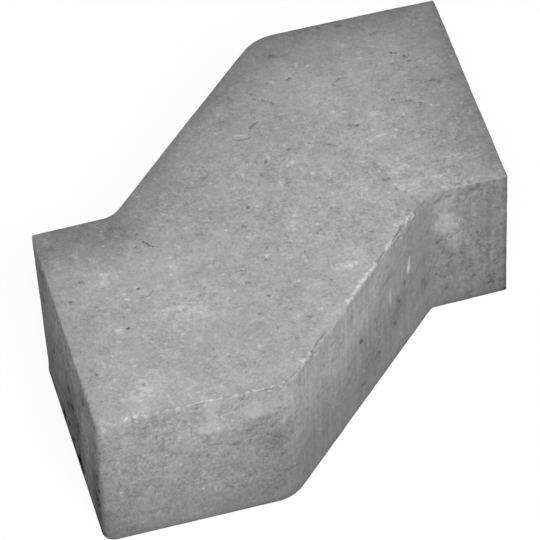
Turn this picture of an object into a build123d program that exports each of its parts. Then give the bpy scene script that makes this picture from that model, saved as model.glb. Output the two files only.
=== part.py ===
from build123d import *
from math import radians, tan
import os

# Zigzag interlocking paving stone, moulded in one piece from dense concrete.
# In plan it is a strip of constant width that turns twice by the same angle,
# once each way, so a half turn about the vertical brings it back onto itself.
# Each outward bend of one stone nests in an inward bend of its neighbour.
# Lengths are in millimetres. The origin is the middle of the bed face, +X runs
# along the two end legs, and +Z points up, out of the wearing face.

# Driving dimensions
LENGTH = 225.0  # over the two end faces, along X
STRIP_WIDTH = 125.0  # of the strip, measured square across each of its legs
SIDE_STEP = 95.0  # how far the second end leg lies to the side of the first
BEND_ANGLE = 45.0  # degrees that the strip turns at each bend
THICKNESS = 80.0  # from the bed face to the wearing face
OUTER_BEND_RADIUS = 20.0  # upright edge of an outward bend
INNER_BEND_RADIUS = 10.0  # upright edge of an inward bend
END_CORNER_RADIUS = 3.0  # upright edges of the two end faces
TOP_ARRIS_RADIUS = 1.5  # worn edge round the wearing face
BED_ARRIS_RADIUS = 1.0  # edge round the bed face

# Sizes that follow from them
OVERALL_WIDTH = STRIP_WIDTH + SIDE_STEP
SLANT_RUN = SIDE_STEP / tan(radians(BEND_ANGLE))
MITRE_SHIFT = STRIP_WIDTH * tan(radians(BEND_ANGLE / 2))
LONG_SIDE = (LENGTH - SLANT_RUN + MITRE_SHIFT) / 2


def front_corners():
    """Corners of the front side in plan, from the left end face to the right one."""
    left_end = (-LENGTH / 2, -OVERALL_WIDTH / 2)
    outward_bend = (left_end[0] + LONG_SIDE, left_end[1])
    inward_bend = (outward_bend[0] + SLANT_RUN, outward_bend[1] + SIDE_STEP)
    right_end = (LENGTH / 2, inward_bend[1])
    return [left_end, outward_bend, inward_bend, right_end]


def zigzag_outline():
    """Rounded plan outline: the front side, and the same side after a half turn."""
    front = front_corners()
    back = [(-x, -y) for x, y in front]
    side_radii = [END_CORNER_RADIUS, OUTER_BEND_RADIUS, INNER_BEND_RADIUS, END_CORNER_RADIUS]
    return FilletPolyline(*front, *back, radius=2 * side_radii, close=True)


def paving_stone():
    """The whole stone: the outline drawn up to its thickness, with both arrises rounded."""
    with BuildPart() as stone:
        with BuildSketch():
            with BuildLine():
                zigzag_outline()
            make_face()
        extrude(amount=THICKNESS)
        wearing_face = stone.faces().sort_by(Axis.Z)[-1]
        fillet(wearing_face.edges(), TOP_ARRIS_RADIUS)
        bed_face = stone.faces().sort_by(Axis.Z)[0]
        fillet(bed_face.edges(), BED_ARRIS_RADIUS)
    return stone.part


os.makedirs("parts", exist_ok=True)
export_step(paving_stone(), "parts/paving_stone.step")
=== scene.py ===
import functools
import math

import bpy
import numpy as np
from mathutils import Matrix, Vector


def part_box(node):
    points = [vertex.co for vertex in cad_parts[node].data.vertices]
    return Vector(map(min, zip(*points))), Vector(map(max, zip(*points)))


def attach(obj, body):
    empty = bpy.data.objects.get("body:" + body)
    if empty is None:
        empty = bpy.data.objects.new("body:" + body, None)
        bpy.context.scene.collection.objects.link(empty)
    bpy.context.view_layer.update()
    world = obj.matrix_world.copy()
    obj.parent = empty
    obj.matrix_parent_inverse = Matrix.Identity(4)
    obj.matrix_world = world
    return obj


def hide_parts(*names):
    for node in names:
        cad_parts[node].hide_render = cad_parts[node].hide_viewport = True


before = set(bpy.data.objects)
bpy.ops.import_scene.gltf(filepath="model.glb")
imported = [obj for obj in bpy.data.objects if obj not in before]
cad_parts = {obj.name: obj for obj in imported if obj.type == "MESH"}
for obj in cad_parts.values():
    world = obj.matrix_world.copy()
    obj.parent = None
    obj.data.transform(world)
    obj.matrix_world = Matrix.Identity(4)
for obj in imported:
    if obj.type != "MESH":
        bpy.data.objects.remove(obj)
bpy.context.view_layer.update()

MM = 0.001

# Plan of the stone: its overall sizes come from the solid, the rest repeats the solid's own sizes
STONE_NODE = "paving_stone"
LOW_CORNER, HIGH_CORNER = (np.array(corner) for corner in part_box(STONE_NODE))
LENGTH, WIDTH, THICKNESS = HIGH_CORNER - LOW_CORNER
STRIP_WIDTH = 125 * MM
BEND_ANGLE = math.radians(45)

# Places round the outline are corner numbers, anticlockwise from the front left corner, plus the share
# of the way on to the next corner. Corners 1 and 5 bend outward, 2 and 6 inward, the rest are the ends'.
CORNERS = 8
TOP_CORNER_RADII = np.array([4, 20, 26, 1.5, 1.5, 23, 13, 1.5]) * MM
BED_CORNER_RADII = np.array([6, 20, 3, 1.5, 3, 23, 13, 16]) * MM
# How far the real stone's corners lie off the drawn ones in x and y, at the wearing face and at the bed
TOP_CORNER_SHIFTS = np.array([
    (0, 0.9), (0, 0.1), (-0.3, 0.6), (-1.0, -0.1), (0, -0.6), (0, 0), (0.6, 0.6), (0.5, 0.0),
]) * MM
BED_CORNER_SHIFTS = np.array([
    (0, 0), (0, 0.3), (-0.1, 0.4), (-1.0, 1.3), (0, -0.6), (0, 0), (0.6, 0.6), (0.7, 0.0),
]) * MM

# Top arris, a row for each place: place, radius in mm, the paleness and half width of its worn line, partly a
# painted highlight, roughness
TOP_ARRIS = np.array([
    (0, 2.8, 0.4, 1.4, 0.1), (0.1, 3.4, 0.52, 1.6, 0.1), (0.16, 2.8, 0.45, 1.3, 0.3),
    (0.2, 2.2, 0.62, 0.9, 0.8), (0.28, 1.5, 0.68, 0.9, 1.2), (0.31, 1.4, 0.1, 0.8, 1.5),
    (0.46, 1.4, 0.1, 0.8, 1.5), (0.495, 1.2, 0.8, 0.9, 1.3), (0.66, 1.1, 0.78, 0.9, 1.3),
    (0.69, 1.4, 0.1, 0.8, 1.2), (0.95, 1.6, 0.05, 0.8, 1.2), (1, 2.2, 0.05, 0.9, 1.2),
    (1.075, 2.4, 0.05, 1, 1.2), (1.095, 1.8, 0.75, 2, 0.9), (1.155, 1.4, 0.85, 2, 0.7),
    (1.165, 2.2, 0.1, 1.2, 1.1), (1.2, 2.8, 0, 1.2, 1.1), (1.26, 3.6, 0, 1.2, 0.7),
    (1.29, 4.4, 0, 1.2, 0.2), (1.39, 4, 0.05, 1.2, 0.2), (1.42, 2, 0.6, 2, 0.7),
    (1.5, 1.4, 0.8, 2.2, 0.8), (1.62, 1.4, 0.85, 2.1, 0.8), (1.645, 2.2, 0.1, 1.2, 1.2),
    (1.68, 2, 0.15, 1.2, 1.2), (1.7, 1.4, 0.75, 2.3, 1), (1.73, 1.4, 0.7, 2.3, 1),
    (1.75, 2.6, 0, 1.2, 1.4), (1.815, 2.6, 0, 1.2, 1.4), (1.84, 1.8, 0.7, 2.7, 1.2),
    (1.88, 1.8, 0.6, 2.7, 1.2), (1.9, 1.8, 0.05, 1.2, 1.2), (2, 1.4, 0, 0.8, 1),
    (2.25, 1.3, 0.15, 0.8, 0.5), (2.4, 1.1, 0.3, 0.7, 0.2), (2.6, 1, 0.35, 0.7, 0.15),
    (2.8, 1, 0.35, 0.7, 0.1), (2.92, 1, 0.2, 0.7, 0.1), (3, 1.2, 0.1, 0.7, 0.1), (4, 0.9, 0.1, 0.7, 0.1),
    (5, 1.1, 0.1, 0.7, 0.1), (6, 1.1, 0.1, 0.7, 0.1), (7, 0.9, 0.05, 0.7, 0.1),
    (7.5, 1.1, 0.05, 0.7, 0.1), (7.9, 1.8, 0.05, 0.8, 0.2),
])
ARRIS_ROUGHNESS_SHARE = 0.35
ARRIS_CHIP = 1.6 * MM
WEAR_AND_HIGHLIGHT_LEAN_SHARE = 0.15  # of the line's half width, towards the wearing face
# Painted shade along the top arris where it is rough and chipped
PAINTED_ARRIS_SHADE = 0.20  # of tone along the top arris of the front sides, where it isn't worn pale
PAINTED_ARRIS_SHADE_HALF = 1.2 * MM
BED_ARRIS_RADIUS = 0.4 * MM
BED_ARRIS_ROUGHNESS = 0.12 * MM

# Faces, a row for each place: place, loss of tone at the rim of the wearing face, and for the side below
# its tone, its gain from foot to rim, its loss at the foot, the mould's drag lines and the grain's strength
FACE_TONES = np.array([
    (0, 0.06, 0.94, 0.28, 0.12, 0.3, 1.13), (0.5, 0.04, 1.02, 0.24, 0.12, 0.3, 1.1),
    (0.96, 0.06, 0.93, 0.22, 0.14, 0.4, 1.1), (1.04, 0.02, 0.92, 0.1, 0.04, 1.3, 0.74),
    (1.55, 0.02, 0.93, 0.14, 0.02, 1.3, 0.7), (1.65, 0.02, 0.97, 0.24, 0.02, 1.2, 0.68),
    (1.96, 0.02, 0.96, 0.18, 0, 0.8, 0.55), (2.08, 0, 0.89, 0.28, 0.1, 1.2, 0.95),
    (2.9, 0.12, 0.76, 0.12, 0.1, 1.3, 1.05), (2.95, 0.18, 0.64, 0.14, 0.12, 1.3, 1),
    (3, 0.24, 0.48, 0.16, 0.12, 1.2, 0.95), (3.1, 0.38, 0.92, 0.15, 0.12, 1, 0.95),
    (4, 0.43, 0.92, 0.15, 0.12, 1, 0.95), (5, 0.4, 0.92, 0.15, 0.12, 1, 0.95),
    (6, 0.44, 0.92, 0.15, 0.12, 1, 0.95), (6.4, 0.44, 0.92, 0.15, 0.12, 1, 0.95),
    (6.85, 0.42, 0.92, 0.15, 0.12, 1, 1.2), (7, 0.4, 0.8, 0.5, 0.06, 0.5, 1.2),
    (7.05, 0.36, 0.78, 0.5, 0.06, 0.5, 1.25), (7.16, 0.24, 0.84, 0.54, 0.02, 0.5, 1.4),
    (7.45, 0.2, 0.84, 0.54, 0.02, 0.5, 1.85), (7.96, 0.14, 0.84, 0.54, 0.02, 0.5, 1.85),
])
RIM_SHADE_REACH = 12 * MM
BACKWARD_LOSS = 1.1  # of the wearing face's tone, per metre towards the back
FOOT_REACH = 12 * MM
# Painted shade in a thin line along the foot of the sides, where they meet the floor
PAINTED_FOOT_SHADE = 0.3
PAINTED_FOOT_SHADE_REACH = 1.3 * MM
FOOT_GRIT_LOSS_SHARE = 0.6
ROUGHENING_START = -70 * MM  # in x plus y: grain and flecks thicken from here on to the next line's place
ROUGHENING_END = 10 * MM
FEWEST_FLECKS_SHARE = 0.35
LEAST_GRIT_SHARE = 0.71
MOST_GRIT_SHARE = 0.88
BACKWARD_GRIT_LOSS = 3.6  # per metre, behind the middle
SIDE_FLECKS_SHARE = 0.35
BED_FLECKS_SHARE = 0.5

# Pale and dark shades of the wearing face in mm: x, y, half length, half width, change of tone
FACE_SHADES = np.array([
    (-56, -50, 15, 11, 0.05), (-85, -24, 8, 6, 0.06), (-88, -94, 13, 9, 0.07), (-88, 1, 24, 13, -0.23),
    (-44, 25, 12, 14, -0.06), (-1, -4, 10, 7, -0.06), (30, 94, 12, 8, -0.09), (93, 16, 14, 12, -0.07),
    (97, 91, 10, 10, -0.08), (49, 54, 14, 10, 0.05), (64, 41, 6, 5, 0.06), (60, 29, 7, 3, 0.05),
    (63, -7, 10, 6, 0.05), (54, -29, 6, 4, 0.06), (-71, 14, 7, 5, 0.06), (5, 52, 14, 9, -0.06),
    (-34, 36, 5, 5, 0.06), (28, -48, 9, 9, 0.05), (-77, -78, 6, 3, -0.17), (-45, -33, 6, 3, -0.16),
    (-60, -88, 60, 24, -0.06), (-38, -45, 25, 60, -0.05), (45, 35, 30, 30, 0.05), (104, -6, 14, 12, -0.1),
    (36, 8, 8, 5, -0.05), (-5, -55, 7, 6, -0.07), (-106, 3, 12, 14, -0.11), (-70, 7, 10, 9, -0.12),
    (98, 42, 16, 34, -0.075), (-62, -5, 8, 7, -0.05), (-103, -106, 8, 5, -0.07), (-77, -108, 9, 3, -0.22),
    (-43, -108, 8, 3, -0.2), (-31, -106.5, 5, 2, -0.1), (56, 0, 3, 3, -0.1), (50, 39, 4, 3, -0.08),
    (-49, 12, 3, 2, -0.1), (4, 53, 5, 3, -0.08), (-6, 57, 4, 3, -0.07), (81, 24, 5, 3, -0.05),
    (97, 56, 5, 3, -0.09), (27, 95, 4, 3, -0.05),
])
# Pale scratchy bloom of the wearing face in mm: x, y, half length, half width
BLOOMS = np.array([
    (-57, -53, 14, 12), (-87, -94, 11, 7), (-87, -23, 6, 6), (16.5, 24, 5, 4), (64, 42, 5, 4),
    (60, 28.5, 5, 1.5), (54, -29, 5, 3), (62, -7, 8, 4), (-79, -38, 3, 2), (-88, -56, 3, 2),
    (-2, 48, 6, 1.5), (22, -47, 5, 2),
])
# Pale and dark shades of the sides: place, height in mm, half length, half height, change of tone
SIDE_SHADES = np.array([
    (0.87, 50, 11, 11, -0.29), (0.05, 25, 12, 20, -0.06), (0.78, 12, 10, 10, -0.05),
    (0.98, 14, 8, 10, -0.06), (0.6, 60, 8, 14, 0.05), (1, 72, 8, 10, 0.08), (0.94, 40, 8, 10, -0.15),
    (0.08, 55, 5, 26, 0.05), (1.22, 66, 52, 29, 0.33), (1.45, 60, 20, 18, 0.12), (1.6, 66, 14, 14, 0.08),
    (1.72, 50, 12, 8, 0.05), (1.68, 60, 7, 3, -0.12), (1.745, 34, 6, 8, -0.24), (1.73, 25, 4, 4, -0.1),
    (1.61, 19, 4, 5, -0.1), (1.85, 14, 12, 8, 0.06), (1.55, 22, 14, 10, -0.11), (1.43, 66, 4, 5, -0.12),
    (1.2, 20, 38, 14, -0.11), (1.945, 27, 4, 8, -0.1), (1.805, 43, 3, 4, -0.12), (1.33, 62, 4, 14, -0.06),
    (1.1, 62, 4, 12, -0.05), (2.58, 75.5, 5, 3, -0.16), (2.8, 11, 5, 5, -0.09), (2.32, 45, 4, 6, 0.1),
    (2.8, 60, 6, 12, -0.07), (2.18, 70, 6, 7, 0.06), (2.27, 34, 3, 4, -0.1), (2.5, 24, 4, 4, -0.06),
    (2.08, 46, 3, 2, -0.1), (0.1, 77, 9, 5, -0.07), (0.22, 77, 7, 5, -0.07), (0.4, 77, 11, 5, -0.13),
    (0.57, 77, 9, 4, -0.08), (0.91, 77, 7, 6, -0.15), (7.56, 32, 15, 18, -0.36), (7.89, 22, 9, 28, -0.38),
    (7.1, 62, 14, 16, -0.18), (7.45, 10, 16, 12, -0.12), (7.77, 42, 7, 24, 0.24), (7.62, 64, 9, 9, 0.06),
    (7.96, 62, 4, 16, -0.1), (7.22, 20, 14, 16, -0.06), (7.45, 25, 6, 4, -0.16), (7.76, 70, 5, 9, -0.28),
    (7.14, 75, 9, 6, -0.18), (7.36, 48, 10, 10, 0.06),
])
# Smears of smooth paste on the sides: place, height in mm, half length, half height, gain of tone
PASTE_SMEARS = np.array([
    (0.583, 73, 3.4, 9, 0.27), (0.585, 63.5, 6.4, 4.8, 0.29), (0.525, 63.5, 3.2, 2, 0.22),
    (0.84, 69, 10, 7, 0.22), (0.985, 72, 3, 8, 0.16), (0.45, 61, 2.6, 7, 0.14), (0.06, 77, 9, 4, 0.12),
    (1.02, 70, 3, 9, 0.14), (1.14, 58, 3, 16, 0.1), (1.26, 60, 2.5, 18, 0.1), (1.38, 58, 2.5, 18, 0.1),
    (1.47, 58, 3, 16, 0.1), (1.57, 62, 3, 14, 0.1), (2.15, 60, 4.6, 4.8, 0.4),
    (2.22, 55.5, 4.6, 4.8, 0.4), (2.14, 70.5, 4.6, 3.8, 0.12), (2.34, 45, 2.6, 4, 0.1),
    (2.74, 60, 8, 13, 0),
])
# Crumbling hollows of the left end, darkened with painted shade: place, height in mm, half length, half
# height, depth of the hollow and its painted shade
HOLLOWS = np.array([
    (7.335, 4.5, 4.4, 4.4, 1.7), (7.5, 5.5, 2, 3.5, 1.3), (7.585, 4.5, 3, 4, 1.6),
    (7.64, 4.5, 4.5, 4.5, 1.7), (7.62, 12, 3, 4, 1.1), (7.45, 25, 4, 3, 0.95), (7.57, 33, 15, 15, 0.46),
    (7.875, 12, 3, 3.5, 0.65), (7.91, 36, 3, 4, 0.75), (7.91, 22, 4, 3, 0.9), (7.77, 73, 4, 8, 0.5),
    (7.14, 75, 9, 6, 0.45), (7.46, 3, 9, 3, 0.55), (7.5, 22, 60, 30, 0.36),
])

# Open pits of the wearing face, darkened with painted shade, in mm: x, y, half length, half width, turn in
# degrees, shade
FACE_PITS = np.array([
    (-104.4, -31.6, 0.9, 0.7, 0, 0.6), (-72.6, -32.6, 0.9, 0.7, 0, 0.55),
    (-83.3, -55.5, 0.9, 0.7, 0, 0.6), (-103.9, -78.8, 0.8, 0.7, 0, 0.5),
    (-105.9, -94.9, 0.9, 0.6, 0, 0.38), (-97, -20.9, 1.2, 0.9, 0, 0.3), (-62.4, -5.2, 1.3, 0.5, -55, 0.5),
    (-61.1, -7.4, 1.1, 0.5, -70, 0.5), (-59.6, -8.9, 1.2, 0.6, -30, 0.5), (-64.5, 1, 1, 0.6, 40, 0.25),
    (-66.6, -7, 0.9, 0.7, 0, 0.28), (-66.2, -10.5, 1, 0.6, 30, 0.3), (-52.9, -44.9, 1.1, 0.8, 0, 0.28),
    (-84.9, -90.5, 1.1, 0.8, 0, 0.28), (-39.5, -72.8, 0.7, 1.4, 0, 0.28), (-10.6, 1.8, 0.8, 1.3, 0, 0.42),
    (-15.4, -9.5, 1.4, 1.2, 30, 0.32), (-8.9, -25.3, 0.8, 0.8, 0, 0.35), (-11.6, -32.8, 1, 0.8, 30, 0.4),
    (6.8, -33.3, 0.8, 0.7, 0, 0.4), (-23.6, -36, 1.2, 0.8, 0, 0.36), (-23.5, -43.9, 1.3, 0.8, 0, 0.38),
    (-16.4, -54.8, 0.9, 0.9, 0, 0.4), (-23, -64.3, 1, 0.8, 30, 0.32), (-17.8, -74.6, 0.6, 1.3, 0, 0.3),
    (-1.5, -72.8, 1.2, 1, 0, 0.28), (-8.8, -65.5, 1.1, 0.8, 0, 0.28), (-44, -85.3, 0.8, 0.7, 0, 0.3),
    (-38.8, -96.4, 0.8, 0.7, 0, 0.3), (28.3, 33.8, 0.9, 0.8, 0, 0.5), (5.4, 28, 0.9, 1.4, 0, 0.45),
    (17.9, 32.6, 1.2, 0.8, 30, 0.3), (38, 29.4, 2.6, 0.7, -28, 0.32), (49.8, 39.4, 1.2, 1.1, 0, 0.32),
    (52.8, 38.4, 1.2, 0.8, 0, 0.46), (56, 0.3, 1.5, 1.1, 0, 0.34), (58.9, -6.7, 0.8, 0.7, 0, 0.32),
    (40, -29.7, 0.8, 0.7, 0, 0.34), (81.4, 24.3, 1.5, 1, 0, 0.22), (85.5, 44.3, 1.6, 0.7, -28, 0.36),
    (81.2, 46.7, 1.5, 0.6, -25, 0.26), (64.2, 48.3, 1, 0.8, 0, 0.34), (74.3, 49.9, 0.9, 0.8, 0, 0.45),
    (26.7, 95.3, 1.1, 1.1, 0, 0.36), (29.5, 94, 1.4, 0.7, -20, 0.18), (31.4, 78.6, 2, 0.8, 32, 0.42),
    (53.6, 70.8, 2, 0.7, 10, 0.38), (50, 67.7, 1.2, 0.8, 0, 0.28), (82.3, 80.2, 0.9, 0.8, 0, 0.45),
    (84.2, 79.6, 0.8, 0.7, 0, 0.45), (87.9, 76.3, 0.9, 0.8, 0, 0.62), (89, 73.1, 0.8, 0.7, 0, 0.42),
    (77.9, 95.6, 1.6, 0.7, 15, 0.28), (90.7, 89.9, 0.7, 0.6, 0, 0.3), (95, 56.8, 1.2, 0.8, 0, 0.3),
    (98.6, 54.9, 1.2, 0.9, 0, 0.38), (4.6, 52, 2, 0.8, 15, 0.36), (8, 54.3, 1.4, 0.6, 10, 0.3),
    (-1.8, 45.5, 3.2, 0.5, -8, 0.34), (15, 68, 0.9, 1.4, 30, 0.3), (18.6, 64.6, 0.8, 1.3, 30, 0.3),
    (53.6, 107.3, 1.2, 0.8, 0, 0.32), (62.9, 105.6, 1.4, 0.8, -20, 0.3), (91.4, 67.4, 0.8, 0.6, 0, 0.3),
    (20, 77.9, 0.9, 0.7, 0, 0.28), (10.7, 73.6, 0.9, 0.7, 0, 0.26),
])
# White crumbs of sand in the wearing face in mm: x, y, half length, half width, turn in degrees, paleness
FACE_CRUMBS = np.array([
    (-79, -38, 1.3, 0.8, -15, 0.34), (-80.4, -44.6, 1, 0.9, 0, 0.22), (-88, -55.5, 1.6, 0.8, 0, 0.34),
    (-89.6, -62.5, 1, 0.8, 0, 0.22), (-53.6, -18.5, 1.1, 0.9, 0, 0.3), (-41.7, -2.4, 1.1, 0.9, 0, 0.3),
    (-35.5, -24.9, 1, 0.7, 0, 0.26), (-37.4, -29.3, 1.8, 0.8, -10, 0.24),
    (-95.1, -5.5, 1.2, 0.9, 0, 0.18), (-62.8, -102.4, 1, 0.8, 0, 0.22), (-89, -99.9, 1.1, 0.8, 0, 0.18),
    (9, -9.6, 1.2, 0.8, 0, 0.3), (6.9, -13.9, 2.2, 0.8, -18, 0.26), (-15.3, -16.4, 1.3, 0.9, 0, 0.28),
    (-10.4, -30.3, 1.1, 1.1, 0, 0.34), (5.8, -36, 0.7, 0.9, 0, 0.26), (6.3, -39.3, 0.7, 0.9, 0, 0.24),
    (25, -48, 1.2, 1.5, 0, 0.28), (24.4, 14.2, 1, 1.2, 0, 0.28), (-6.3, 1.4, 1.1, 0.9, 0, 0.22),
    (-49.4, 8.9, 1, 1, 0, 0.22), (-46.3, 7, 1, 0.9, 0, 0.22), (-28.8, -83.6, 0.9, 2, 0, 0.22),
    (-53, -84.5, 1.2, 0.8, 0, 0.2), (65, 11.7, 0.8, 1.5, 0, 0.28), (69.7, 30, 1.1, 1, 0, 0.28),
    (61.5, 28.4, 3, 0.8, 5, 0.28), (56.4, 26.4, 0.9, 0.9, 0, 0.24), (29.7, -1, 1, 0.8, 0, 0.32),
    (8.3, 11.7, 0.7, 2, 0, 0.22), (7.1, 30.7, 1.1, 2, 0, 0.26), (-7.6, 22.9, 0.9, 1.5, 0, 0.26),
    (36, 71, 0.9, 0.8, 0, 0.16), (16.8, 24, 1.8, 1.2, 10, 0.22), (41.4, 83.6, 1.1, 0.7, 20, 0.28),
    (36.4, 86, 0.8, 1.3, 0, 0.24), (66.4, 81, 1.8, 0.8, 0, 0.22), (61.4, 91.7, 1.2, 1, 0, 0.2),
    (16.4, 47.4, 1.3, 0.9, 0, 0.22), (50, 48.6, 0.8, 0.7, 0, 0.3), (-2, 48.2, 3.4, 0.6, -10, 0.24),
    (16.4, 35.5, 0.8, 1.5, 0, 0.2), (59.3, -4.3, 0.9, 0.8, 0, 0.24), (55, -8.6, 1, 0.8, 0, 0.2),
])
# Dark spots, which are pits darkened with painted shade, then white drips of the sides: place, height in mm,
# half sizes, turn in degrees, strength
SIDE_SPOTS = np.array([
    (0.3, 31, 2, 1.4, 0, 0.22), (0.7, 48.5, 2.2, 1.6, 0, 0.24), (0.66, 19, 1.6, 1.2, 0, 0.22),
    (0.89, 17, 1, 0.9, 0, 0.2), (0.615, 29.5, 2.2, 1.6, 30, 0.2), (0.39, 50.5, 2, 1.4, 0, 0.2),
    (0.945, 33, 1.8, 1.2, 30, 0.25), (0.605, 50.5, 3.2, 0.8, -8, 0.26), (0.92, 46.5, 4.5, 0.7, -25, 0.26),
    (0.77, 53, 2, 1.2, 0, 0.22), (0.625, 71.5, 2.2, 1.2, 0, 0.15), (0.51, 77.5, 1.8, 0.7, 0, 0.16),
    (0.85, 60, 2.5, 1, 20, 0.1), (0.8, 57, 2, 1, 0, 0.18), (0.76, 23.5, 2.2, 1.5, 0, 0.15),
    (0.12, 47, 1.4, 1, 0, 0.16), (0.2, 63, 1.2, 0.9, 0, 0.16), (0.3, 65, 1.2, 0.9, 0, 0.16),
    (1.49, 44, 2.8, 1, -50, 0.5), (1.43, 66, 2.6, 1.6, -50, 0.14), (1.765, 36, 3.4, 1.2, -60, 0.34),
    (1.74, 24, 2.8, 1.2, -50, 0.28), (1.81, 43, 2.6, 1, -55, 0.24), (1.62, 19, 2.8, 1.1, -60, 0.2),
    (1.965, 20, 3.2, 1.2, -65, 0.24), (1.94, 27, 2.4, 1, -50, 0.2), (1.595, 44, 2.2, 0.9, -50, 0.16),
    (1.5, 12, 2.6, 1, -50, 0.18), (1.68, 60, 4, 1.2, 0, 0.14), (1.67, 30, 2.4, 0.9, -50, 0.16),
    (2.085, 46.3, 1.8, 1.2, 10, 0.34), (2.23, 47.3, 1.9, 0.8, 22, 0.28), (2.075, 74.5, 1.6, 1.3, 0, 0.32),
    (2.2, 75.4, 1.6, 1.1, 0, 0.26), (2.585, 47.2, 1.2, 0.6, 0, 0.26), (2.27, 34.5, 1.4, 1.6, 0, 0.28),
    (2.05, 23.5, 0.9, 1.4, 0, 0.32), (2.49, 24, 1, 1.3, 0, 0.22), (2.165, 20.4, 0.8, 0.8, 0, 0.28),
    (2.54, 16.7, 1.3, 0.8, -30, 0.32), (2.18, 12, 0.8, 1.2, 0, 0.22), (2.74, 13.5, 1.2, 1.4, 0, 0.24),
    (2.82, 13.5, 1.1, 1.6, 0, 0.24), (2.75, 9.5, 1.4, 0.9, 0, 0.24), (2.83, 22, 0.7, 0.9, 0, 0.24),
    (7.94, 30, 3, 1.2, 48, 0.8), (7.925, 37.5, 3, 1.2, 55, 0.7), (7.925, 18, 3, 1.2, 48, 0.8),
    (7.91, 8, 2.8, 1, 50, 0.7), (7.865, 18, 2.6, 1, 40, 0.5), (7.507, 7, 3.4, 1.3, 48, 0.9),
    (7.55, 35, 4, 1.4, 50, 0.65), (7.46, 24.5, 4, 1.5, 40, 0.75), (7.62, 29, 3.6, 1.3, 60, 0.6),
    (7.5, 41, 4, 1.3, 45, 0.55), (7.67, 38, 3.6, 1.3, 35, 0.5), (7.19, 20, 4, 1.3, 55, 0.5),
    (7.25, 34, 3.6, 1.3, 40, 0.45), (7.76, 66, 4.4, 1.4, 60, 0.5), (7.59, 19, 4.4, 1.5, 62, 0.75),
    (7.12, 52, 4, 1.3, 50, 0.4), (7.44, 9, 3.6, 1.3, 48, 0.85), (7.68, 52, 4, 1.3, 55, 0.35),
    (2.38, 35, 0.9, 1.1, 0, 0.2), (2.13, 37.6, 0.7, 1, 0, 0.2),
])
SIDE_DRIPS = np.array([
    (1.834, 50.2, 1.7, 2.8, 0, 0.82), (1.838, 54.4, 1, 2.6, -6, 0.52), (1.7, 46.5, 1.2, 6.2, 3, 0.3),
    (1.3, 33, 1.3, 1.5, -30, 0.18), (0.415, 61.4, 0.9, 0.8, 0, 0.36), (0.41, 42.6, 0.9, 0.9, 0, 0.36),
    (0.86, 44.3, 0.6, 0.5, 0, 0.3), (0.885, 41.3, 0.6, 0.6, 0, 0.3), (0.96, 56.2, 0.9, 1.5, 10, 0.36),
    (0.275, 12.3, 0.8, 0.7, 0, 0.22), (0.525, 8.4, 0.9, 0.8, 0, 0.22), (0.97, 38.7, 1.7, 1.4, 0, 0.16),
    (0.255, 65, 0.8, 0.7, 0, 0.24), (0.032, 76.8, 1.4, 1.2, 20, 0.32), (0.02, 79, 1, 0.8, 0, 0.28),
])
# White crumbs along the top arris: place, way in from it in mm, half sizes, turn in degrees, paleness
ARRIS_CRUMBS = np.array([
    (0.205, 0.4, 0.8, 0.7, 0, 0.2), (0.548, 0.7, 0.9, 0.8, 0, 0.46), (0.594, 0.5, 1.1, 1, 0, 0.56),
    (0.818, 0.2, 0.9, 0.8, 0, 0.4), (0.862, 0, 0.8, 0.7, 0, 0.36), (0.905, 0.3, 0.9, 0.8, 0, 0.42),
    (0.984, 0.8, 0.9, 0.9, 0, 0.32), (1.7, 0.8, 1.2, 0.9, 0, 0.36), (1.72, 1.8, 1, 0.8, 20, 0.28),
    (1.852, 1.2, 1.2, 0.9, 0, 0.36), (1.875, 0.8, 1, 0.8, 0, 0.32), (1.862, 2.6, 0.9, 0.8, 0, 0.26),
    (1.56, 1.6, 1, 0.8, 30, 0.26),
])
# Row of white beads of paste along the top arris of the front: place, beads up to there, paleness
RIM_BEADS = np.array([
    (0, 0, 0), (0.29, 0, 0), (0.32, 0.5, 0.48), (0.484, 3.5, 0.5), (0.51, 4, 0), (0.69, 6, 0),
    (0.724, 6.5, 0.44), (0.833, 8.5, 0.44), (0.86, 9, 0), (7.99, 9, 0),
])
BEAD_PITCH = 4.9 * MM
BEAD_MIDDLE = 0.5  # of the pitch
BEAD_HALF_LENGTH = 1.3 * MM
BEAD_HALF_WIDTH = 0.75 * MM
BEAD_WAY_IN = 0.1 * MM
# Dark breaks beside the top arris, painted shade of small chips: place, way in from it in mm, half sizes,
# turn in degrees, shade
ARRIS_BREAKS = np.array([
    (0.9, -1.7, 3.6, 0.7, 0, 0.36), (0.985, 1.6, 1, 0.8, 0, 0.22), (0.865, -1.6, 1.2, 0.8, 0, 0.18),
    (0.525, -1.1, 2.8, 0.5, 0, 0.26), (1.04, 0.2, 1.8, 1.2, 0, 0.16), (1.17, -1, 1.6, 1.2, 20, 0.22),
    (1.21, -0.6, 1.6, 1, -20, 0.14), (1.245, -1, 1.6, 1, 10, 0.18), (1.27, -0.6, 1.6, 1, -15, 0.16),
    (1.65, -0.8, 1.6, 1.2, 0, 0.18), (1.745, -0.6, 1.6, 1.2, 20, 0.2), (1.78, 0, 1.8, 1.2, -20, 0.2),
    (1.81, 0.5, 1.5, 1.2, 20, 0.24), (1.845, 2.6, 1.4, 0.9, 30, 0.24), (1.88, -0.8, 1.4, 1.1, 0, 0.24),
    (1.925, -1, 1.5, 1.3, 0, 0.16), (1.96, -1.6, 1.8, 1.4, 20, 0.13),
])
# How much lower and further on the sides' marks lie than on the drawn faces, which the worn ones lie behind
MARKS_DROP = 1.6 * MM
MARKS_SHIFT = 0.8 * MM
NEAR_MARK = 2.2  # half sizes of a mark, past which a point counts as far from it
FAR_FROM_MARKS = 4.0
PIT_DEPTH = 0.5 * MM
CRUMB_RISE = 0.12 * MM
VOID_DEPTH = 1.9 * MM
VOID_START = 0.45
# Painted shade in the chips below the top arris, per mm of their depth
PAINTED_CHIP_SHADE_PER_MM = 0.6
SMEAR_POWER = 3  # of its fall, flatter in the middle than a bell's
LEAST_COVER = 1e-6  # where no smear lies, so that nothing is divided by zero
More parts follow.
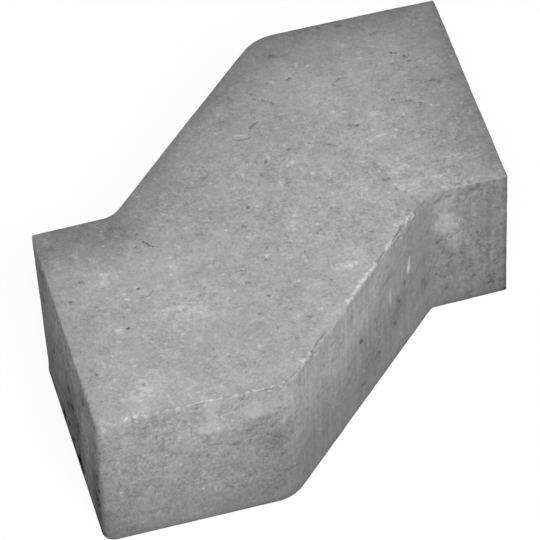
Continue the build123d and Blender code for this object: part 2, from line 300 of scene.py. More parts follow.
# Chips in the sides below the top arris: place, drop in mm, half length, half height, depth
RIM_CHIPS = np.array([
    (0.525, 2, 2.8, 1, 0.35), (0.64, 6.5, 3, 1.6, 0.4), (0.9, 1.6, 4, 1.2, 0.6), (0.97, 2, 3, 1.5, 0.6),
    (1.17, 2, 3, 1.8, 0.7), (1.25, 2, 5, 1.8, 0.4), (1.55, 5, 5, 3, 0.4), (1.66, 1.8, 3, 1.6, 0.9),
    (1.77, 1.8, 5, 2, 1.3), (1.9, 2, 3, 1.8, 0.6), (1.94, 2, 4, 1.8, 0.3), (2.58, 4.5, 6, 2.4, 0.5),
])

# Mesh of the stone
END_LEG_COLUMNS = 90
SLANT_COLUMNS = 124
CROSS_ROWS = 134
SIDE_ROWS = 58
END_CROWDING_POWER = 1.25
CROSS_CROWDING_SHARE = 0.45
SIDE_CROWDING_SHARE = 0.6
BED_INSETS = np.array([0.5, 1.2]) * MM
LENGTH_COLUMNS = 2 * END_LEG_COLUMNS + SLANT_COLUMNS
SEARCH_BLOCKS = 48

# Unevenness of the surface and its edges: noise cells, depths and shares, each wave by its cell and depth
NOISE_SEED = 36
LATTICE_CELLS = 48
SURFACE_WAVES = ((30 * MM, 0.10 * MM), (8 * MM, 0.05 * MM), (2.6 * MM, 0.05 * MM))
ARRIS_GRAIN_CELL = 2.6 * MM
ARRIS_GRAIN_DEPTH = 0.4 * MM
ARRIS_GRAIN_REACH = 2 * MM
LONG_WEAR_CELL = 22 * MM
CHIP_CELL = 4.5 * MM
CHIP_LEVEL = 0.4
CHIP_BREAK_CELL = 1.8 * MM
CHIP_BREAK_MIDDLE = 0.4
CHIP_BREAK_SWING = 1.2
WARP_CELL = 7 * MM
WARP_SHARE = 0.45


def graded(steps, crowding_share):
    """Shares from 0 to 1: even steps less a sine wave, so the end steps are shorter by the crowding share."""
    even = np.linspace(0, 1, steps + 1)
    return even - crowding_share * np.sin(2 * np.pi * even) / (2 * np.pi)


def plan_corners():
    """The eight drawn corners of the plan, anticlockwise from the front left: four, and their half turn."""
    side_step = WIDTH - STRIP_WIDTH
    slant_run = side_step / math.tan(BEND_ANGLE)
    mitre_shift = STRIP_WIDTH * math.tan(BEND_ANGLE / 2)
    long_side = (LENGTH - slant_run + mitre_shift) / 2
    left, front = -LENGTH / 2, -WIDTH / 2
    outward_bend = left + long_side
    front_side = np.array([
        (left, front),
        (outward_bend, front),
        (outward_bend + slant_run, front + side_step),
        (-left, front + side_step),
    ])
    return np.vstack([front_side, -front_side])


def outline_walk():
    """Places round the outline, one for each column of the mesh.

    Front and back places face each other across the strip, so the lines between them meet the mitres."""
    to_bend = np.linspace(0, 1, END_LEG_COLUMNS + 1) ** END_CROWDING_POWER
    slant = np.linspace(1, 2, SLANT_COLUMNS + 1)
    front = np.concatenate([to_bend[:-1], slant[:-1], 3 - to_bend[::-1]])
    across = graded(CROSS_ROWS, CROSS_CROWDING_SHARE)
    return np.concatenate([front[:-1], 3 + across[:-1], 7 - front[:0:-1], 7 + across[:-1]])


def round_the_walk(walk, table):
    """The table's columns at places on the walk, blended evenly between its rows and on round the outline."""
    return [np.interp(walk, table[:, 0], column, period=CORNERS) for column in table[:, 1:].T]


def bent_outline(walk, corners, radii):
    """Plan points and outward normals at the walk's places, for one ring of corners and their radii.

    A place on a straight edge lies on that edge. A place nearer to its corner than the tangent length,
    radius times the tangent of half the turn, lies on the corner's arc at the same share of the turn."""
    edges = np.roll(corners, -1, axis=0) - corners
    lengths = np.linalg.norm(edges, axis=1)
    ahead = edges / lengths[:, None]
    behind = np.roll(ahead, 1, axis=0)
    turn = np.arctan2(behind[:, 0] * ahead[:, 1] - behind[:, 1] * ahead[:, 0], (behind * ahead).sum(axis=1))
    to_centre = ahead - behind
    to_centre /= np.linalg.norm(to_centre, axis=1)[:, None]

    nearest = np.rint(walk).astype(int)
    edge = np.where(walk < nearest, nearest - 1, nearest) % CORNERS
    offset = (walk - nearest) * lengths[edge]
    corner = nearest % CORNERS

    straight = corners[corner] + ahead[edge] * offset[:, None]
    straight_normal = np.stack([ahead[edge][:, 1], -ahead[edge][:, 0]], axis=1)

    radius = radii[corner]
    half_turn = np.abs(turn[corner]) / 2
    tangent = radius * np.tan(half_turn)
    angle = np.sign(turn[corner]) * half_turn * offset / tangent
    spoke = -to_centre[corner]
    spoke_turned = np.stack([
        spoke[:, 0] * np.cos(angle) - spoke[:, 1] * np.sin(angle),
        spoke[:, 0] * np.sin(angle) + spoke[:, 1] * np.cos(angle),
    ], axis=-1)
    centre = corners[corner] + to_centre[corner] * (radius / np.cos(half_turn))[:, None]
    arc = centre + spoke_turned * radius[:, None]
    arc_normal = spoke_turned * np.sign(turn[corner])[:, None]

    on_arc = (np.abs(offset) < tangent)[:, None]
    return np.where(on_arc, arc, straight), np.where(on_arc, arc_normal, straight_normal)


def side_rings(walk, down_shares):
    """Rings of plan points and normals down the sides, corners and radii blended evenly from top to bed."""
    drawn = plan_corners()
    top, bed = drawn + TOP_CORNER_SHIFTS, drawn + BED_CORNER_SHIFTS
    rings = []
    for share in down_shares:
        radii = TOP_CORNER_RADII + (BED_CORNER_RADII - TOP_CORNER_RADII) * share
        rings.append(bent_outline(walk, top + (bed - top) * share, radii))
    points, normals = zip(*rings)
    return np.array(points), np.array(normals)


def ring_sides(ring):
    """The ring's front, right, back and left runs with both corners each, left to right or front to back."""
    looped = np.concatenate([ring, ring[:1]])
    back_start = LENGTH_COLUMNS + CROSS_ROWS
    left_start = back_start + LENGTH_COLUMNS
    front = looped[:LENGTH_COLUMNS + 1]
    right = looped[LENGTH_COLUMNS:back_start + 1]
    back = looped[back_start:left_start + 1][::-1]
    left = looped[left_start:][::-1]
    return front, right, back, left


def face_grid(ring):
    """Grid inside a ring: the sheet ruled front to back plus that ruled left to right, less the corners'."""
    front, right, back, left = ring_sides(ring)
    u = np.linspace(0, 1, LENGTH_COLUMNS + 1)[:, None, None]
    v = graded(CROSS_ROWS, CROSS_CROWDING_SHARE)[None, :, None]
    across = (1 - v) * front[:, None] + v * back[:, None]
    along = (1 - u) * left[None] + u * right[None]
    corner_sheet = (1 - v) * ((1 - u) * front[0] + u * front[-1]) + v * ((1 - u) * back[0] + u * back[-1])
    return across + along - corner_sheet


def nearest_on_ring(places, ring):
    """Number of the ring point nearest to each place in plan, found a block of places at a time."""
    found = [
        ((block[:, None] - ring[None]) ** 2).sum(axis=-1).argmin(axis=1)
        for block in np.array_split(places, SEARCH_BLOCKS)
    ]
    return np.concatenate(found)


def lattice_noise(places, cell, rng):
    """Smooth noise from -1 to 1: random values on a cubic lattice, blended among the eight round a place."""
    values = rng.uniform(-1, 1, (LATTICE_CELLS,) * 3)
    scaled = places / cell
    base = np.floor(scaled).astype(int)
    share = scaled - base
    share = share * share * (3 - 2 * share)
    total = np.zeros(len(places))
    for corner in np.ndindex(2, 2, 2):
        weight = np.where(corner, share, 1 - share).prod(axis=1)
        total += weight * values[tuple(((base + corner) % LATTICE_CELLS).T)]
    return total


def soft_marks(across, upward, middles, halves, power=2):
    """A bell for each mark at each point, highest at the mark's middle and falling off over its two halves.

    It is one over e to the sum of both ways from the middle, each in its half and raised to the power."""
    first = np.abs(across[:, None] - middles[0]) / halves[0]
    second = np.abs(upward[:, None] - middles[1]) / halves[1]
    return np.exp(-first ** power - second ** power)


def mark_offsets(across, upward, middles, halves, turns):
    """Each point's way from the nearest mark's middle, along and across it in half sizes, and its number."""
    first = across[:, None] - middles[0]
    second = upward[:, None] - middles[1]
    along = (first * np.cos(turns) + second * np.sin(turns)) / halves[0]
    over = (second * np.cos(turns) - first * np.sin(turns)) / halves[1]
    nearest = np.hypot(along, over).argmin(axis=1)[:, None]
    offsets = np.hstack([np.take_along_axis(along, nearest, 1), np.take_along_axis(over, nearest, 1)])
    return offsets, nearest[:, 0]


def nearest_marks(families):
    """The nearest mark of all families: its offsets, a third number that is zero near it, and its shade.

    The offsets change evenly across a mesh face, so the finish can draw each mark with a sharp edge."""
    offsets, shades = (np.array(part) for part in zip(*families))
    reach = np.linalg.norm(offsets, axis=-1)
    chosen = reach.argmin(axis=0), np.arange(reach.shape[1])
    far = np.where(reach[chosen] < NEAR_MARK, 0.0, FAR_FROM_MARKS)
    return np.column_stack([offsets[chosen], far]), shades[chosen]


def rounded_arris(inward, away, radius):
    """Bends a square edge onto a quarter arc.

    A point of the square section lies inward on one face or away from the edge on the other. Up to one
    radius from the edge it moves to the arc, at an angle that grows evenly with the way past the edge.
    Returns the new inward and away distances and the surface's tilt, which is 0 on the away face and
    90 degrees on the other."""
    past = np.clip((inward - away) / radius, -1, 1)
    tilt = (1 + past) * np.pi / 4
    on_arc = np.abs(past) < 1
    new_inward = np.where(on_arc, radius * (1 - np.cos(tilt)), inward)
    new_away = np.where(on_arc, radius * (1 - np.sin(tilt)), away)
    return new_inward, new_away, tilt


def quads(numbers):
    """Faces of a grid of vertex numbers, each round one cell."""
    cells = (numbers[:-1, :-1], numbers[1:, :-1], numbers[1:, 1:], numbers[:-1, 1:])
    return np.stack(cells, axis=-1).reshape(-1, 4)


def face_numbers(ring_numbers, first_inside):
    """Vertex numbers of a face's grid: the ring's own round the rim, new ones inside."""
    numbers = np.empty((LENGTH_COLUMNS + 1, CROSS_ROWS + 1), int)
    front, right, back, left = ring_sides(ring_numbers)
    inside_shape = (LENGTH_COLUMNS - 1, CROSS_ROWS - 1)
    numbers[1:-1, 1:-1] = first_inside + np.arange(np.prod(inside_shape)).reshape(inside_shape)
    numbers[:, 0], numbers[:, -1] = front, back
    numbers[0, :], numbers[-1, :] = left, right
    return numbers


def stone_surface():
    """The stone's closed surface: points, faces and the surface fields that its finish reads.

    A ring round the outline is carried down the sides in rows and a little way in under the bed. A grid
    closes it above and one flat face below."""
    rng = np.random.default_rng(NOISE_SEED)
    walk = outline_walk()
    columns = len(walk)
    below_top = THICKNESS * graded(SIDE_ROWS, SIDE_CROWDING_SHARE)
    rings, normals = side_rings(walk, below_top / THICKNESS)

    # Points of sides, bed's edge and wearing face, each with its column and its way in from the rim
    bed_rows = len(BED_INSETS)
    top_inside = face_grid(rings[0])[1:-1, 1:-1].reshape(-1, 2)
    top_foot = nearest_on_ring(top_inside, rings[0])
    bed_edge = rings[-1][None] - normals[-1][None] * BED_INSETS[:, None, None]
    every_column = np.arange(columns)
    plan = np.concatenate([rings.reshape(-1, 2), bed_edge.reshape(-1, 2), top_inside])
    foot = np.concatenate([np.tile(every_column, SIDE_ROWS + 1 + bed_rows), top_foot])
    bed_normals = np.tile(normals[-1], (bed_rows, 1))
    outward = np.concatenate([normals.reshape(-1, 2), bed_normals, normals[0][top_foot]])
    side_heights = np.concatenate([THICKNESS - below_top, np.zeros(bed_rows)])
    height = np.concatenate([np.repeat(side_heights, columns), np.full(len(top_inside), THICKNESS)])
    side_insides = np.concatenate([np.zeros(SIDE_ROWS + 1), BED_INSETS])
    top_insides = ((rings[0][top_foot] - top_inside) * normals[0][top_foot]).sum(axis=1)
    inside = np.concatenate([np.repeat(side_insides, columns), top_insides])

    # Worn edges
    rim = np.column_stack([rings[0], np.zeros(columns)])
    steps = np.linalg.norm(np.diff(rings[0], axis=0, append=rings[0][:1]), axis=1)
    run = np.concatenate([[0], np.cumsum(steps)])
    radius_mm, paleness, line_half_mm, roughness = round_the_walk(walk, TOP_ARRIS)
    long_wear = lattice_noise(rim, LONG_WEAR_CELL, rng)
    chips = np.clip(lattice_noise(rim, CHIP_CELL, rng) - CHIP_LEVEL, 0, 1)
    top_radius = radius_mm * MM * (1 + ARRIS_ROUGHNESS_SHARE * long_wear) + ARRIS_CHIP * roughness * chips
    bed_radius = BED_ARRIS_RADIUS + BED_ARRIS_ROUGHNESS * lattice_noise(rim, CHIP_CELL, rng)
    past_top = inside - (THICKNESS - height)
    moved, down, top_tilt = rounded_arris(inside, THICKNESS - height, top_radius[foot])
    moved, up, bed_tilt = rounded_arris(moved, THICKNESS - down, bed_radius[foot])
    tilt = top_tilt - bed_tilt
    plan = plan - outward * (moved - inside)[:, None]
    points = np.column_stack([plan, up])
    facing = np.column_stack([outward * np.cos(tilt)[:, None], np.sin(tilt)])
    on_side = np.cos(tilt)
    on_face = np.clip(np.sin(tilt), 0, 1)
    run_here = run[foot]
    run_read, height_read = run_here - MARKS_SHIFT, height + MARKS_DROP

    # Shades, smears and hollows, their outlines warped by noise
    warp_a = lattice_noise(points, WARP_CELL, rng)
    warp_b = lattice_noise(points, WARP_CELL, rng)

    def run_of(places):
        return np.interp(places, np.append(walk, CORNERS), run)

    def on_top(table):
        x, y, half_x, half_y = table.T[:4] * MM
        bend = WARP_SHARE * np.minimum(half_x, half_y).mean()
        return soft_marks(plan[:, 0] + bend * warp_a, plan[:, 1] + bend * warp_b, (x, y), (half_x, half_y))

    def on_sides(table, power=2):
        rise, half_run, half_rise = table.T[1:4] * MM
        bend = WARP_SHARE * np.minimum(half_run, half_rise).mean()
        middles = (run_of(table[:, 0]), rise)
        across, upward = run_read + bend * warp_a, height_read + bend * warp_b
        return soft_marks(across, upward, middles, (half_run, half_rise), power)

    face_change = on_top(FACE_SHADES) @ FACE_SHADES[:, 4]
    bloom = on_top(BLOOMS).max(axis=1) * on_face
    side_change = on_sides(SIDE_SHADES) @ SIDE_SHADES[:, 4]
    smears = on_sides(PASTE_SMEARS, SMEAR_POWER)
    smear_cover = smears.max(axis=1) * on_side
    smear_gain = smears @ PASTE_SMEARS[:, 4] / (smears.sum(axis=1) + LEAST_COVER)
    # Hollows of the left end: their depth and the painted shade in them
    hollows_and_painted_shade = (on_sides(HOLLOWS) * HOLLOWS[:, 4]).max(axis=1) * on_side
    chip_table = np.column_stack([RIM_CHIPS[:, 0], THICKNESS / MM - RIM_CHIPS[:, 1], RIM_CHIPS[:, 2:4]])
    break_noise = lattice_noise(points, CHIP_BREAK_CELL, rng)
    broken = np.clip(CHIP_BREAK_MIDDLE + CHIP_BREAK_SWING * break_noise, 0, 1)
    chip_depth = (on_sides(chip_table) * RIM_CHIPS[:, 4] * MM).max(axis=1) * on_side * broken

    # Small sharp marks, by their way from each point
    def offsets_on(across, upward, first, table, valid):
        turns = np.radians(table[:, 4])
        offsets, nearest = mark_offsets(across, upward, (first, table[:, 1] * MM), table.T[2:4] * MM, turns)
        return np.where(valid[:, None], offsets, FAR_FROM_MARKS), table[nearest, 5]

    def marks_on(face, side, arris):
        above_bed = height > 0
        on_sides_only = (past_top < 0) & above_bed
        return nearest_marks([
            offsets_on(plan[:, 0], plan[:, 1], face[:, 0] * MM, face, past_top > 0),
            offsets_on(run_read, height_read, run_of(side[:, 0]), side, on_sides_only),
            offsets_on(run_here, past_top, run_of(arris[:, 0]), arris, above_bed),
        ])

    # The pits, spots and breaks carry the strength of the painted shade in them
    pits, painted_pit_shade = marks_on(FACE_PITS, SIDE_SPOTS, ARRIS_BREAKS)
    crumbs, crumb_paleness = marks_on(FACE_CRUMBS, SIDE_DRIPS, ARRIS_CRUMBS)

    # Unevenness, pressed in along the surface's normal
    hollow = sum(depth * (1 + lattice_noise(points, cell, rng)) for cell, depth in SURFACE_WAVES)
    near_arris = np.exp(-np.abs(past_top) / ARRIS_GRAIN_REACH) * roughness[foot]
    hollow += ARRIS_GRAIN_DEPTH * near_arris * (1 + lattice_noise(points, ARRIS_GRAIN_CELL, rng))
    hollow += PIT_DEPTH * np.exp(-(pits ** 2).sum(axis=1)) + chip_depth
    hollow += CRUMB_RISE * (1 - np.exp(-(crumbs ** 2).sum(axis=1)))
    hollow += VOID_DEPTH * np.clip(hollows_and_painted_shade - VOID_START, 0, 1)
    hollow[height <= 0] = 0
    points = points - facing * hollow[:, None]

    # Fields for the finish
    tones = round_the_walk(walk, FACE_TONES)
    rim_loss, side_tone, climb, foot_loss, drag, side_grit = (column[foot] for column in tones)
    face_tone = 1 - BACKWARD_LOSS * plan[:, 1] - rim_loss * np.exp(-inside / RIM_SHADE_REACH) + face_change
    at_foot = np.exp(-height / FOOT_REACH)
    lower_tone = side_tone + climb * (height / THICKNESS - 0.5) - foot_loss * at_foot + side_change
    # Painted shade along the foot line
    lower_tone -= PAINTED_FOOT_SHADE * np.exp(-height / PAINTED_FOOT_SHADE_REACH)
    side_grit = side_grit * (1 - FOOT_GRIT_LOSS_SHARE * at_foot)
    roughening = np.clip((plan.sum(axis=1) - ROUGHENING_START) / (ROUGHENING_END - ROUGHENING_START), 0, 1)
    face_flecks = FEWEST_FLECKS_SHARE + (1 - FEWEST_FLECKS_SHARE) * roughening
    face_grit = LEAST_GRIT_SHARE + (MOST_GRIT_SHARE - LEAST_GRIT_SHARE) * roughening
    face_grit -= BACKWARD_GRIT_LOSS * np.clip(plan[:, 1], 0, None)
    bead_count, bead_paleness = (column[foot] for column in round_the_walk(walk, RIM_BEADS))
    bead_way = (past_top - BEAD_WAY_IN) / BEAD_HALF_WIDTH
    line_half = line_half_mm[foot] * MM
    off_line = past_top - WEAR_AND_HIGHLIGHT_LEAN_SHARE * line_half
    # Painted shade along the rough top arris
    painted_arris_shade = PAINTED_ARRIS_SHADE * np.clip(roughness[foot], 0, 1) * np.exp(-(past_top / PAINTED_ARRIS_SHADE_HALF) ** 2)
    flecks = on_face * face_flecks + (1 - on_face) * SIDE_FLECKS_SHARE
    on_bed = (height <= 0) & (inside > 0)
    fields = {
        "tone": np.where(on_bed, 1.0, (1 - painted_arris_shade) * (on_face * face_tone + (1 - on_face) * lower_tone)),
        "grit": np.where(on_bed, 1.0, on_face * face_grit + (1 - on_face) * side_grit),
        "flecks": np.where(on_bed, BED_FLECKS_SHARE, flecks),
        "drag": np.where(on_bed, 0.0, on_side * drag),
        "bloom": bloom,
        "smear": np.where(on_bed, 0.0, smear_cover),
        "smear_gain": smear_gain,
        # Painted shade in the hollows and the rim chips
        "hollows_and_painted_shade": np.where(on_bed, 0.0, np.maximum(hollows_and_painted_shade, PAINTED_CHIP_SHADE_PER_MM * chip_depth / MM)),
        # Worn pale line along the top arris, partly a painted highlight
        "wear_and_highlight": paleness[foot] * np.exp(-(off_line / line_half) ** 2) * (height > THICKNESS / 2),
        "rim_beads": np.column_stack([bead_count, bead_way, bead_paleness]),
        "pits": pits,
        "crumbs": crumbs,
        "painted_pit_shade": painted_pit_shade,
        "crumb_paleness": crumb_paleness,
    }

    ring_numbers = np.arange((SIDE_ROWS + 1 + bed_rows) * columns).reshape(-1, columns)
    looped = np.column_stack([ring_numbers, ring_numbers[:, 0]])
    top = face_numbers(ring_numbers[0], ring_numbers.size)
    faces = [quads(looped), quads(top), ring_numbers[-1:, ::-1]]
    return points, faces, fields


def scene_object(name, data):
    """A new object of the data, linked into the scene."""
    made = bpy.data.objects.new(name, data)
    bpy.context.scene.collection.objects.link(made)
    return made


def mesh_piece(name, points, faces, fields):
    """A smooth mesh object at the origin, made from arrays, with each field's number or vector per point."""
    corners = np.concatenate([group.ravel() for group in faces])
    sizes = np.concatenate([np.full(len(group), group.shape[1]) for group in faces])
    mesh = bpy.data.meshes.new(name)
    mesh.vertices.add(len(points))
    mesh.vertices.foreach_set("co", points.ravel())
    mesh.loops.add(len(corners))
    mesh.loops.foreach_set("vertex_index", corners)
    mesh.polygons.add(len(sizes))
    mesh.polygons.foreach_set("loop_start", np.cumsum(sizes) - sizes)
    mesh.update(calc_edges=True)
    mesh.validate()
    mesh.shade_smooth()
    for field, values in fields.items():
        kind, content = ("FLOAT", "value") if values.ndim == 1 else ("FLOAT_VECTOR", "vector")
        attribute = mesh.attributes.new(field, kind, "POINT")
        attribute.data.foreach_set(content, values.astype(np.float32).ravel())
    return scene_object(name, mesh)


def empty_tree(owner):
    """The shader tree of a material or a world, with its first nodes removed."""
    owner.use_nodes = True
    owner.node_tree.nodes.clear()
    return owner.node_tree


def shader_node(tree, kind, inputs, **settings):
    """Adds one shader node, with its settings, and sets or links its inputs by name or number."""
    made = tree.nodes.new(f"ShaderNode{kind}")
    for name, value in settings.items():
        setattr(made, name, value)
    for name, value in inputs.items():
        if isinstance(value, bpy.types.NodeSocket):
            tree.links.new(value, made.inputs[name])
        else:
            made.inputs[name].default_value = value
    return made


# Noises of the finish: size, detail, roughness
SAND_GRAIN = (1.35 * MM, 2, 0.6)
COARSE_GRAIN = (2.6 * MM, 2, 0.6)
MOTTLE = (7 * MM, 3, 0.55)
CLOUD = (30 * MM, 2, 0.5)
FLECK = (2.1 * MM, 1, 0.5)
FROST = (3 * MM, 3, 0.6)
SMEAR = (5 * MM, 3, 0.65)
PATCH = (16 * MM, 2, 0.5)
BLOTCH = (8 * MM, 3, 0.65)
STREAK = (3 * MM, 2, 0.6)
NOISE_MIDDLE = 0.5
# Dots: cell, share of the cells without one, largest radius as a share of the cell
PORES = (6 * MM, 0.5, 0.1)
SPECKS = (9 * MM, 0.45, 0.12)
DOT_EDGE = 0.06
# Stretch of noises and dots: scale in x, y and z, less than one to draw them out
UPRIGHT = (1, 1, 0.8)
LYING = (0.85, 1, 0.9)
HANGING = (1, 1, 0.07)
RUNNING = (1, 1, 0.25)
SPECK_STRETCH = (0.8, 1, 1.1)
# Levels at which a mark starts and is full, for two of them with their values there
FLECK_LEVELS = (0.6, 0.7)
FLECK_GAP_LEVELS = (0.58, 0.42)
FROST_LEVELS = (0.56, 0.74)
FROST_SPREAD = 0.18  # of the bloom, towards the frost's levels
MARK_LEVELS = (1.45, 0.4)
BEAD_LEVELS = (1.35, 0.4)
SMEAR_LEVELS = (0.15, 0.78)
HOLLOW_LEVELS = (0.45, 0.8)
HOLLOW_LIMIT_LEVELS = (0.03, 0.25)
WEAR_AND_HIGHLIGHT_LEVELS = (0.25, 0.95)
PATCH_LEVELS = (0.34, 0.66, 0.8, 1.2)
RUBBLE_LEVELS = (0.42, 0.66, 0.95, 0.6)
# How far noise pushes the edges of marks about, for two of them by sand grain and coarse grain
MARK_RAGGED = (0.7, 0.8)
WEAR_AND_HIGHLIGHT_RAGGED = (0.5, 0.9)
BEAD_RAGGED = 0.7
BEAD_JITTER = 0.35
SMEAR_RUN = 0.6
SMEAR_RAGGED = 0.3
HOLLOW_RAGGED = 0.6
RUBBLE_RAGGED = 0.15
# Changes of tone
CONCRETE_GREY = 0.376
GRAIN_TONE = 0.46
COARSE_TONE = 0.40
MOTTLE_TONE = 0.28
CLOUD_TONE = 0.16
STREAK_TONE = 0.20
FLECK_LOSS = 0.15
PORE_LOSS = 0.22
SPECK_GAIN = 0.27
FROST_GAIN = 0.29
WEAR_AND_HIGHLIGHT_GAIN = 0.56
CRUMB_GAIN = 1.4
SMEAR_SMOOTHING = 0.45
# Relief and gloss
GRAIN_RELIEF = 0.5
COARSE_RELIEF = 0.6
MOTTLE_RELIEF = 0.5
PORE_RELIEF = 0.8
FLECK_RELIEF = 0.5
RELIEF = 0.6 * MM
RELIEF_STRENGTH = 0.42
CONCRETE_ROUGHNESS = 0.92
CONCRETE_SPECULAR = 0.2


def concrete():
    """Pressed grey concrete: sand grain, cloudy bloom, smeared paste, pits and hollows with painted shade,
    white crumbs, worn pale edges that are partly a painted highlight.
    """
    material = bpy.data.materials.new("concrete")
    node = functools.partial(shader_node, empty_tree(material))

    def calc(operation, first, second=0.0):
        return node("Math", {0: first, 1: second}, operation=operation).outputs[0]

    def added(*terms):
        return functools.reduce(functools.partial(calc, "ADD"), terms)

    def times(*factors):
        return functools.reduce(functools.partial(calc, "MULTIPLY"), factors)

    def rest(share):
        return calc("SUBTRACT", 1.0, share)

    def noise(places, kind):
        size, detail, roughness = kind
        inputs = {"Vector": places, "Scale": 1 / size, "Detail": detail, "Roughness": roughness}
        return node("TexNoise", inputs).outputs[0]

    def swing(source, amount):
        """The noise less its middle value, scaled to swing by the amount to either side."""
        return times(calc("SUBTRACT", source, NOISE_MIDDLE), amount / NOISE_MIDDLE)

    def ramp(source, start, end, low=0.0, high=1.0):
        inputs = {"Value": source, "From Min": start, "From Max": end, "To Min": low, "To Max": high}
        return node("MapRange", inputs, interpolation_type="SMOOTHSTEP").outputs[0]

    def field(name, output="Fac"):
        return node("Attribute", {}, attribute_name=name).outputs[output]

    def stretched(scale):
        return node("Mapping", {"Vector": coords, "Scale": scale}).outputs[0]

    def dots_of(places, cell, rarity, size):
        """Round dots, one in some of the cells of that size, each of its own size."""
        cells = node("TexVoronoi", {"Vector": places, "Scale": 1 / cell})
        chance = node("SeparateColor", {0: cells.outputs["Color"]}).outputs[0]
        reach = ramp(chance, rarity, 1.0, -DOT_EDGE, size)
        return rest(ramp(calc("SUBTRACT", cells.outputs["Distance"], reach), -DOT_EDGE, DOT_EDGE))

    def ragged(by_grain, by_coarse):
        return added(swing(grain, by_grain), swing(coarse, by_coarse))

    def marks_of(name):
        """Marks drawn from their offsets, full inside a ragged edge about one half size from the middle."""
        offsets = {0: field(name, "Vector")}
        way = node("VectorMath", offsets, operation="LENGTH").outputs["Value"]
        return ramp(added(way, mark_edge), *MARK_LEVELS)

    coords = node("TexCoord", {}).outputs["Object"]
    upright = stretched(UPRIGHT)
    lying = stretched(LYING)
    grain = noise(upright, SAND_GRAIN)
    coarse = noise(upright, COARSE_GRAIN)
    mottle = noise(coords, MOTTLE)
    cloud = noise(coords, CLOUD)
    streak = noise(stretched(HANGING), STREAK)
    fleck = times(ramp(noise(lying, FLECK), *FLECK_LEVELS), ramp(mottle, *FLECK_GAP_LEVELS), field("flecks"))
    pore = dots_of(lying, *PORES)
    speck = dots_of(stretched(SPECK_STRETCH), *SPECKS)
    frost = ramp(added(noise(lying, FROST), times(field("bloom"), FROST_SPREAD)), *FROST_LEVELS)
    frost = times(frost, field("bloom"))
    mark_edge = ragged(*MARK_RAGGED)
    # Painted shade in the pits, the dark spots and the breaks beside the arris
    pit = times(marks_of("pits"), field("painted_pit_shade"))
    crumb = times(marks_of("crumbs"), field("crumb_paleness"))
    beads = node("SeparateXYZ", {0: field("rim_beads", "Vector")})
    row, way_in, bead_paleness = beads.outputs
    along = calc("SUBTRACT", calc("FRACT", added(row, swing(mottle, BEAD_JITTER))), BEAD_MIDDLE)
    along = times(along, BEAD_PITCH / BEAD_HALF_LENGTH)
    way = calc("SQRT", added(times(along, along), times(way_in, way_in)))
    bead = ramp(added(way, swing(coarse, BEAD_RAGGED)), *BEAD_LEVELS)
    crumb = calc("MAXIMUM", crumb, times(bead, bead_paleness))
    runny = noise(stretched(RUNNING), SMEAR)
    smear = added(field("smear"), swing(runny, SMEAR_RUN), swing(coarse, SMEAR_RAGGED))
    smear = ramp(smear, *SMEAR_LEVELS)
    broken = added(swing(coarse, HOLLOW_RAGGED), swing(noise(upright, BLOTCH), HOLLOW_RAGGED))
    # Painted shade of the hollows and chips, which also sinks the relief
    hollow = ramp(added(field("hollows_and_painted_shade"), broken), *HOLLOW_LEVELS)
    hollow = times(hollow, ramp(field("hollows_and_painted_shade"), *HOLLOW_LIMIT_LEVELS))

    smooth = rest(times(smear, SMEAR_SMOOTHING))
    patchy = ramp(noise(coords, PATCH), *PATCH_LEVELS)
    sand = added(swing(grain, GRAIN_TONE), swing(coarse, COARSE_TONE), swing(mottle, MOTTLE_TONE))
    sand = added(sand, times(fleck, -FLECK_LOSS), times(pore, -PORE_LOSS))
    sand = times(sand, times(smooth, patchy), field("grit"))
    texture = added(sand, swing(cloud, CLOUD_TONE), times(field("drag"), swing(streak, STREAK_TONE)))
    texture = added(texture, times(speck, SPECK_GAIN), times(frost, FROST_GAIN))
    base = added(field("tone"), times(smear, field("smear_gain")))
    rubble = ramp(added(grain, swing(coarse, RUBBLE_RAGGED)), *RUBBLE_LEVELS)
    # Painted shade darkens the pits and the hollows
    tone = times(base, added(1.0, texture), rest(pit), rest(times(hollow, rubble)))
    # Worn pale line along the top arris, partly a painted highlight
    wear_and_highlight = ramp(added(field("wear_and_highlight"), ragged(*WEAR_AND_HIGHLIGHT_RAGGED)), *WEAR_AND_HIGHLIGHT_LEVELS)
    pale = calc("MAXIMUM", times(wear_and_highlight, WEAR_AND_HIGHLIGHT_GAIN), times(crumb, CRUMB_GAIN))
    grey = times(added(tone, pale), CONCRETE_GREY)
    colour = node("CombineColor", {0: grey, 1: grey, 2: grey}).outputs[0]

    relief = added(times(grain, GRAIN_RELIEF), times(coarse, COARSE_RELIEF), times(mottle, MOTTLE_RELIEF))
    relief = added(relief, times(pore, -PORE_RELIEF), times(fleck, -FLECK_RELIEF))
    relief = calc("SUBTRACT", calc("SUBTRACT", relief, hollow), pit)
    bump_inputs = {"Height": relief, "Strength": RELIEF_STRENGTH, "Distance": RELIEF}
    surface = {
        "Base Color": colour,
        "Roughness": CONCRETE_ROUGHNESS,
        "Specular IOR Level": CONCRETE_SPECULAR,
        "Normal": node("Bump", bump_inputs).outputs[0],
    }
    shader = node("BsdfPrincipled", surface).outputs[0]
    node("OutputMaterial", {"Surface": shader})
    return material


stone = mesh_piece("zigzag_paving_stone", *stone_surface())
stone.data.materials.append(concrete())
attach(stone, "root")
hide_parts(STONE_NODE)

# Floor, light and camera
FLOOR_HALF = 4.0
FLOOR_DROP = 0.1 * MM
FLOOR_GLOW = 0.92
FLOOR_SHADE_GREY = 0.08
FLOOR_BOUNCE_GREY = 0.25
AMBIENT = 0.4
WHITE = (1.0, 1.0, 1.0, 1.0)
KEY_DIRECTION = Vector((-0.034, -0.465, 0.6)).normalized()
KEY_DISTANCE = 2.2
KEY_SIZE = 1.0
KEY_WATTS = 36.0

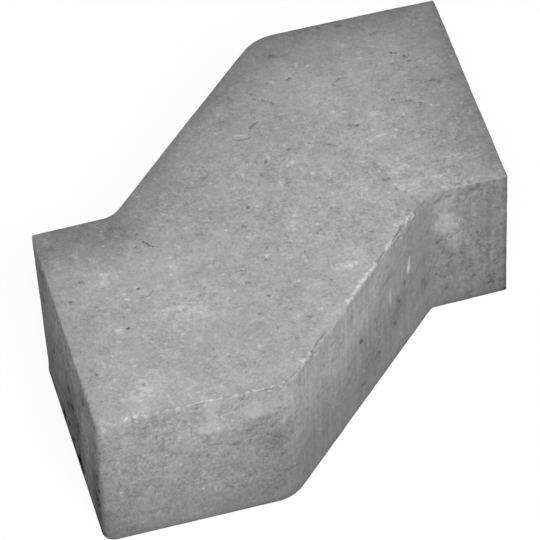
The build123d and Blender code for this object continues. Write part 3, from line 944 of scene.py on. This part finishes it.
CAMERA_AZIMUTH = math.radians(-13.6436)
CAMERA_ELEVATION = math.radians(47.0828)
CAMERA_ROLL = math.radians(-2.6356)
CAMERA_TARGET = Vector((-2.7536 * MM, -3.7620 * MM, 40 * MM))
CAMERA_DISTANCE = 2.4356406
CAMERA_LENS = 344.22


def seen_directly(tree):
    """One for rays from the camera, a mirror or a glass, zero for rays that carry light."""
    path = shader_node(tree, "LightPath", {})
    seen = path.outputs["Is Camera Ray"]
    for kind in ("Is Glossy Ray", "Is Transmission Ray"):
        inputs = {0: seen, 1: path.outputs[kind]}
        seen = shader_node(tree, "Math", inputs, operation="MAXIMUM").outputs[0]
    return seen


def pale_floor():
    """A wide flat floor that looks white, keeps a soft shadow, and throws little light back."""
    corners = [(x * FLOOR_HALF, y * FLOOR_HALF, -FLOOR_DROP) for x, y in ((-1, -1), (1, -1), (1, 1), (-1, 1))]
    mesh = bpy.data.meshes.new("floor")
    mesh.from_pydata(corners, [], [(0, 1, 2, 3)])
    material = bpy.data.materials.new("white_floor")
    tree = empty_tree(material)
    glow = shader_node(tree, "Emission", {"Strength": FLOOR_GLOW}).outputs[0]
    shade_colour = (FLOOR_SHADE_GREY,) * 3 + (1.0,)
    bounce_colour = (FLOOR_BOUNCE_GREY,) * 3 + (1.0,)
    shade = shader_node(tree, "BsdfDiffuse", {"Color": shade_colour}).outputs[0]
    bounce = shader_node(tree, "BsdfDiffuse", {"Color": bounce_colour}).outputs[0]
    shown = shader_node(tree, "AddShader", {0: glow, 1: shade}).outputs[0]
    mixed = shader_node(tree, "MixShader", {0: seen_directly(tree), 1: bounce, 2: shown}).outputs[0]
    shader_node(tree, "OutputMaterial", {"Surface": mixed})
    mesh.materials.append(material)
    return scene_object("floor", mesh)


def studio_light():
    """An even dome of light, white where it is seen, and one wide soft lamp in front and above."""
    world = bpy.data.worlds.new("studio")
    bpy.context.scene.world = world
    tree = empty_tree(world)
    dome = shader_node(tree, "Background", {"Color": WHITE, "Strength": AMBIENT}).outputs[0]
    white = shader_node(tree, "Background", {"Color": WHITE, "Strength": 1.0}).outputs[0]
    mixed = shader_node(tree, "MixShader", {0: seen_directly(tree), 1: dome, 2: white}).outputs[0]
    shader_node(tree, "OutputWorld", {"Surface": mixed})

    lamp = bpy.data.lights.new("key", "AREA")
    lamp.shape = "DISK"
    lamp.size = KEY_SIZE
    lamp.energy = KEY_WATTS
    key = scene_object("key", lamp)
    key.location = KEY_DIRECTION * KEY_DISTANCE
    key.rotation_mode = "QUATERNION"
    key.rotation_quaternion = KEY_DIRECTION.to_track_quat("Z", "Y")


def photo_camera():
    """A long lens aimed at the stone from its azimuth and elevation, then rolled about its own axis."""
    flat = math.cos(CAMERA_ELEVATION)
    right = Vector((math.cos(CAMERA_AZIMUTH), math.sin(CAMERA_AZIMUTH), 0.0))
    back = Vector((right.y * flat, -right.x * flat, math.sin(CAMERA_ELEVATION)))
    turn = Matrix((right, back.cross(right), back)).transposed() @ Matrix.Rotation(CAMERA_ROLL, 3, "Z")
    data = bpy.data.cameras.new("camera")
    data.lens = CAMERA_LENS
    camera = scene_object("camera", data)
    camera.matrix_world = Matrix.Translation(CAMERA_TARGET + back * CAMERA_DISTANCE) @ turn.to_4x4()
    bpy.context.scene.camera = camera


pale_floor()
studio_light()
photo_camera()
bpy.context.scene.view_settings.view_transform = "Standard"
